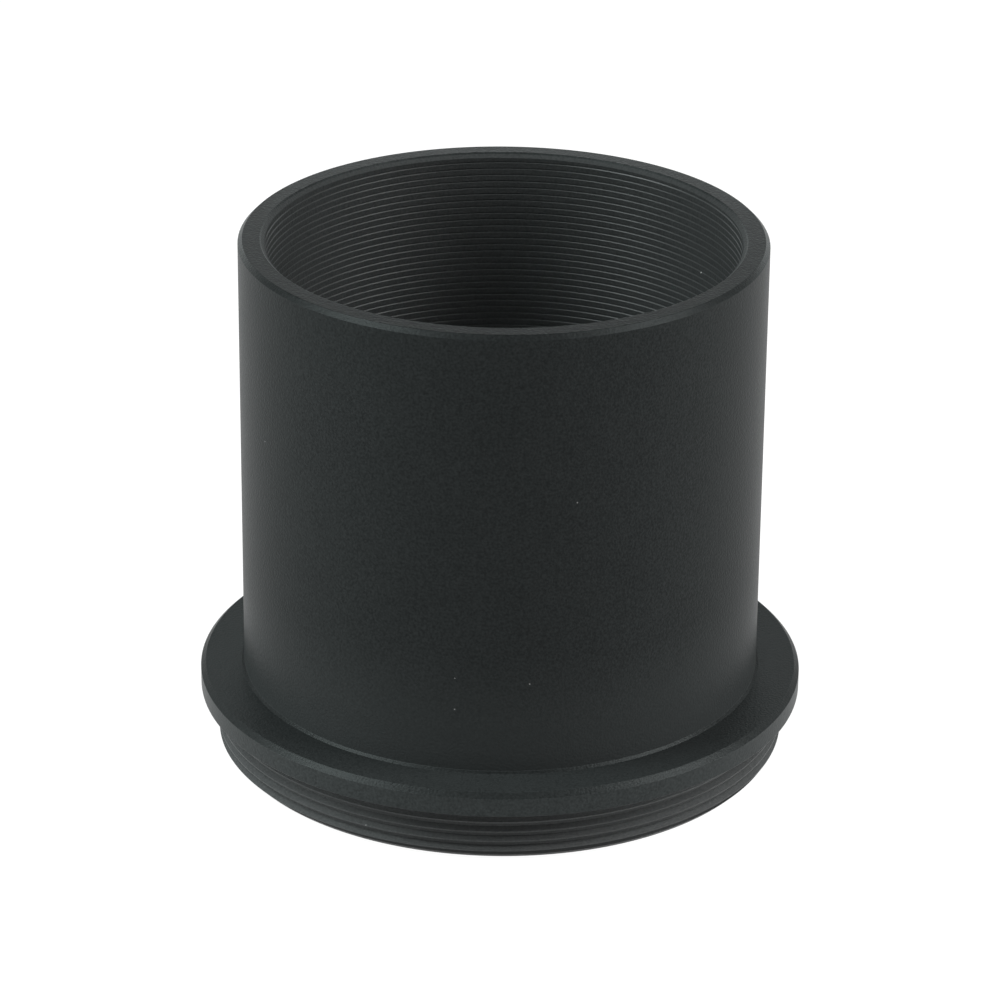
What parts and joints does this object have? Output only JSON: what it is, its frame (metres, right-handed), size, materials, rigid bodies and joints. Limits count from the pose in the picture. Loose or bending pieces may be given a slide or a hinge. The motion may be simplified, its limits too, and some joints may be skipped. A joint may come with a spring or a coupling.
{
  "type": "barlow lens",
  "caption": "Barlow lens in a two-inch nosepiece: plain black barrel with a stop flange, a male camera thread, and a lens cell that screws out of the camera end.",
  "frame": {"origin": "centre of the threaded camera end, which the part stands on", "axes": "+Z along the optical axis, from the camera end to the nose"},
  "size_m": [0.0594, 0.0594, 0.0525],
  "materials": {
    "black_anodised": "fine blasted and black anodised, satin",
    "cell_black": "turned and black anodised, satin",
    "flat_black": "flat black, dull",
    "cushion": "soft black plastic, dull",
    "coated_glass": "polished and multicoated, faint green"
  },
  "bodies": {
    "barrel": {"barrel": "black_anodised"},
    "optics": {"front_lens": "coated_glass", "rear_lens": "coated_glass", "lens_spacer": "flat_black", "cushion_ring": "cushion", "glare_stop": "flat_black"},
    "cell": {"lens_cell": "cell_black", "retaining_ring": "cell_black"}
  },
  "joints": [
    {"name": "cell_travel", "type": "slide", "parent": "barrel", "child": "optics", "axis": [0, 0, -1], "range_m": [0, 0.006]},
    {"name": "cell_turn", "type": "hinge", "parent": "optics", "child": "cell", "pos_m": [0, 0, 0.012], "axis": [0, 0, -1], "range_deg": [0, 2880]}
  ],
  "couplings": [
    {"joint": "cell_travel", "follows": "cell_turn", "m_per_rad": 0.00011937}
  ]
}
